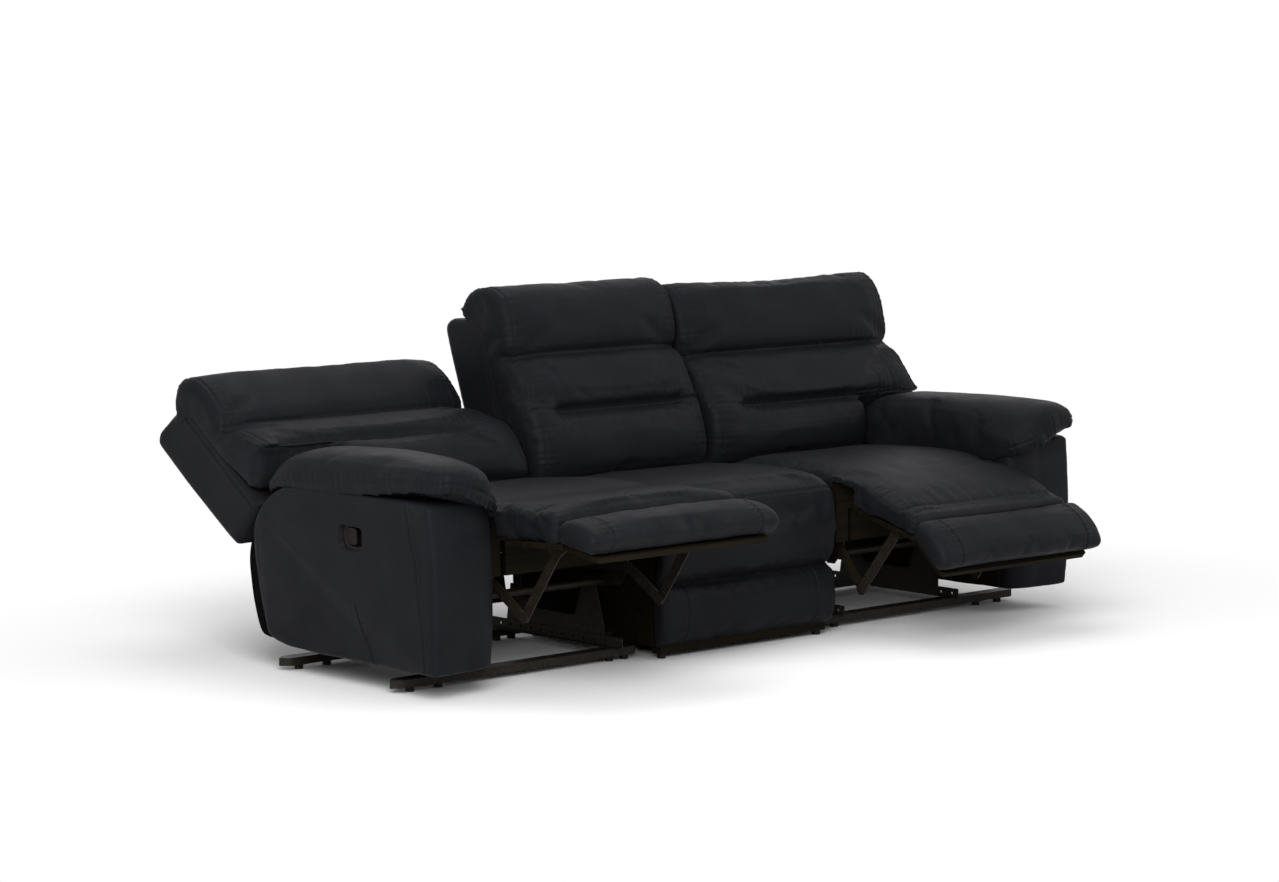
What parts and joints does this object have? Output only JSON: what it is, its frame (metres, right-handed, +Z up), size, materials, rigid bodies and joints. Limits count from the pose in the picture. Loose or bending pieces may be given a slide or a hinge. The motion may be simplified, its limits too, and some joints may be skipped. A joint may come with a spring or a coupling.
{
  "type": "reclining sofa",
  "caption": "Three-seat leather reclining sofa: two end units recline and lift footrests by pull handles, around a fixed middle unit.",
  "frame": {"origin": "bottom centre of the bounding box in the rest pose, on the floor", "axes": "+X to the sitter's left along the sofa, +Y towards the backs, +Z up"},
  "size_m": [2.4868, 1.5662, 0.9874],
  "materials": {
    "leather": "soft semi-matt, fine grain",
    "plywood": "raw plywood",
    "dark_steel": "dark satin paint",
    "link_steel": "bronze-brown satin paint",
    "handle_plastic": "dark brown satin",
    "base_cloth": "black non-woven cloth",
    "webbing": "woven elastic",
    "glide_plastic": "black"
  },
  "bodies": {
    "root": {"glides": "glide_plastic", "middle_rails": "plywood", "middle_box": "plywood", "middle_front_pad": "leather", "middle_seat_cushion": "leather", "middle_back_shell": "leather", "middle_back_cushion": "leather", "unit_connectors": "dark_steel", "right_cross_rails": "dark_steel", "right_side_rails": "dark_steel", "right_base_plates": "dark_steel", "right_arm_frame": "plywood", "right_arm_cover": "leather", "right_arm_pad": "leather", "right_handle_bezel": "handle_plastic", "right_rear_panel": "base_cloth", "left_cross_rails": "dark_steel", "left_side_rails": "dark_steel", "left_base_plates": "dark_steel", "left_arm_frame": "plywood", "left_arm_cover": "leather", "left_arm_pad": "leather", "left_handle_bezel": "handle_plastic", "left_rear_panel": "base_cloth"},
    "right_handle": {"right_handle_lever": "handle_plastic"},
    "right_front_link": {"right_front_swing_links": "link_steel"},
    "right_rear_link": {"right_rear_swing_links": "link_steel"},
    "right_seat": {"right_mech_plates": "link_steel", "right_seat_box": "plywood", "right_seat_webbing": "webbing", "right_seat_cushion": "leather", "right_back_brackets": "dark_steel"},
    "right_calf": {"right_calf_pad": "leather", "right_calf_board": "plywood", "right_calf_brackets": "link_steel"},
    "right_ottoman": {"right_ottoman_pad": "leather", "right_ottoman_board": "plywood"},
    "right_rocker": {"right_foot_rockers": "link_steel"},
    "right_coupler": {"right_foot_couplers": "link_steel"},
    "right_back": {"right_back_frame": "plywood", "right_back_shell": "leather", "right_back_cushion": "leather"},
    "left_handle": {"left_handle_lever": "handle_plastic"},
    "left_front_link": {"left_front_swing_links": "link_steel"},
    "left_rear_link": {"left_rear_swing_links": "link_steel"},
    "left_seat": {"left_mech_plates": "link_steel", "left_seat_box": "plywood", "left_seat_webbing": "webbing", "left_seat_cushion": "leather", "left_back_brackets": "dark_steel"},
    "left_calf": {"left_calf_pad": "leather", "left_calf_board": "plywood", "left_calf_brackets": "link_steel"},
    "left_ottoman": {"left_ottoman_pad": "leather", "left_ottoman_board": "plywood"},
    "left_rocker": {"left_foot_rockers": "link_steel"},
    "left_coupler": {"left_foot_couplers": "link_steel"},
    "left_back": {"left_back_frame": "plywood", "left_back_shell": "leather", "left_back_cushion": "leather"}
  },
  "joints": [
    {"name": "right_recline", "type": "hinge", "parent": "right_seat", "child": "right_back", "pos_m": [0, 0.24538, 0.47], "axis": [1, 0, 0], "range_deg": [-33, 0]},
    {"name": "right_front_link_pivot", "type": "hinge", "parent": "root", "child": "right_front_link", "pos_m": [0, -0.13462, 0.205], "axis": [1, 0, 0], "range_deg": [-12.39, 0]},
    {"name": "right_seat_pivot", "type": "hinge", "parent": "right_front_link", "child": "right_seat", "pos_m": [0, -0.23462, 0.205], "axis": [1, 0, 0], "range_deg": [0, 9.39]},
    {"name": "right_rear_link_pivot", "type": "hinge", "parent": "root", "child": "right_rear_link", "pos_m": [0, 0.17538, 0.15], "axis": [1, 0, 0], "range_deg": [-2.22, 0]},
    {"name": "right_footrest", "type": "hinge", "parent": "right_seat", "child": "right_calf", "pos_m": [0, -0.39662, 0.428], "axis": [1, 0, 0], "range_deg": [-15, 75]},
    {"name": "right_footrest_crease", "type": "hinge", "parent": "right_calf", "child": "right_ottoman", "pos_m": [0, -0.62258, 0.30534], "axis": [1, 0, 0], "range_deg": [-27, 5.4]},
    {"name": "right_foot_rocker_pivot", "type": "hinge", "parent": "right_seat", "child": "right_rocker", "pos_m": [0, -0.25962, 0.252], "axis": [1, 0, 0], "range_deg": [-15, 75]},
    {"name": "right_foot_coupler_pivot", "type": "hinge", "parent": "right_rocker", "child": "right_coupler", "pos_m": [0, -0.36569, 0.12626], "axis": [1, 0, 0], "range_deg": [-75, 15]},
    {"name": "right_handle_pull", "type": "hinge", "parent": "root", "child": "right_handle", "pos_m": [1.21271, -0.06812, 0.4], "axis": [0.0857, 0, 0.9963], "range_deg": [0, 30], "stiffness_Nm_per_rad": 0.25},
    {"name": "left_recline", "type": "hinge", "parent": "left_seat", "child": "left_back", "pos_m": [0, 0.26092, 0.46597], "axis": [1, 0, 0], "range_deg": [0, 33]},
    {"name": "left_front_link_pivot", "type": "hinge", "parent": "root", "child": "left_front_link", "pos_m": [0, -0.13462, 0.205], "axis": [1, 0, 0], "range_deg": [0, 12.39]},
    {"name": "left_seat_pivot", "type": "hinge", "parent": "left_front_link", "child": "left_seat", "pos_m": [0, -0.23229, 0.22646], "axis": [1, 0, 0], "range_deg": [-9.39, 0]},
    {"name": "left_rear_link_pivot", "type": "hinge", "parent": "root", "child": "left_rear_link", "pos_m": [0, 0.17538, 0.15], "axis": [1, 0, 0], "range_deg": [0, 2.22]},
    {"name": "left_footrest", "type": "hinge", "parent": "left_seat", "child": "left_calf", "pos_m": [0, -0.3824, 0.45763], "axis": [1, 0, 0], "range_deg": [0, 90]},
    {"name": "left_footrest_crease", "type": "hinge", "parent": "left_calf", "child": "left_ottoman", "pos_m": [0, -0.6352, 0.4108], "axis": [1, 0, 0], "range_deg": [-12, 0]},
    {"name": "left_foot_rocker_pivot", "type": "hinge", "parent": "left_seat", "child": "left_rocker", "pos_m": [0, -0.2548, 0.2747], "axis": [1, 0, 0], "range_deg": [0, 90]},
    {"name": "left_foot_coupler_pivot", "type": "hinge", "parent": "left_rocker", "child": "left_coupler", "pos_m": [0, -0.39453, 0.1879], "axis": [1, 0, 0], "range_deg": [-90, 0]},
    {"name": "left_handle_pull", "type": "hinge", "parent": "root", "child": "left_handle", "pos_m": [-1.21271, -0.06812, 0.4], "axis": [-0.0857, 0, 0.9963], "range_deg": [-30, 0], "stiffness_Nm_per_rad": 0.25}
  ],
  "couplings": [
    {"joint": "right_front_link_pivot", "follows": "right_recline", "ratio": 0.37548},
    {"joint": "right_seat_pivot", "follows": "right_recline", "ratio": -0.28457},
    {"joint": "right_rear_link_pivot", "follows": "right_recline", "ratio": 0.067339},
    {"joint": "right_footrest_crease", "follows": "right_footrest", "ratio": -0.36},
    {"joint": "right_foot_rocker_pivot", "follows": "right_footrest", "ratio": 1},
    {"joint": "right_foot_coupler_pivot", "follows": "right_footrest", "ratio": -1},
    {"joint": "left_front_link_pivot", "follows": "left_recline", "ratio": 0.37548},
    {"joint": "left_seat_pivot", "follows": "left_recline", "ratio": -0.28457},
    {"joint": "left_rear_link_pivot", "follows": "left_recline", "ratio": 0.067339},
    {"joint": "left_footrest_crease", "follows": "left_footrest", "ratio": -0.13333},
    {"joint": "left_foot_rocker_pivot", "follows": "left_footrest", "ratio": 1},
    {"joint": "left_foot_coupler_pivot", "follows": "left_footrest", "ratio": -1}
  ]
}
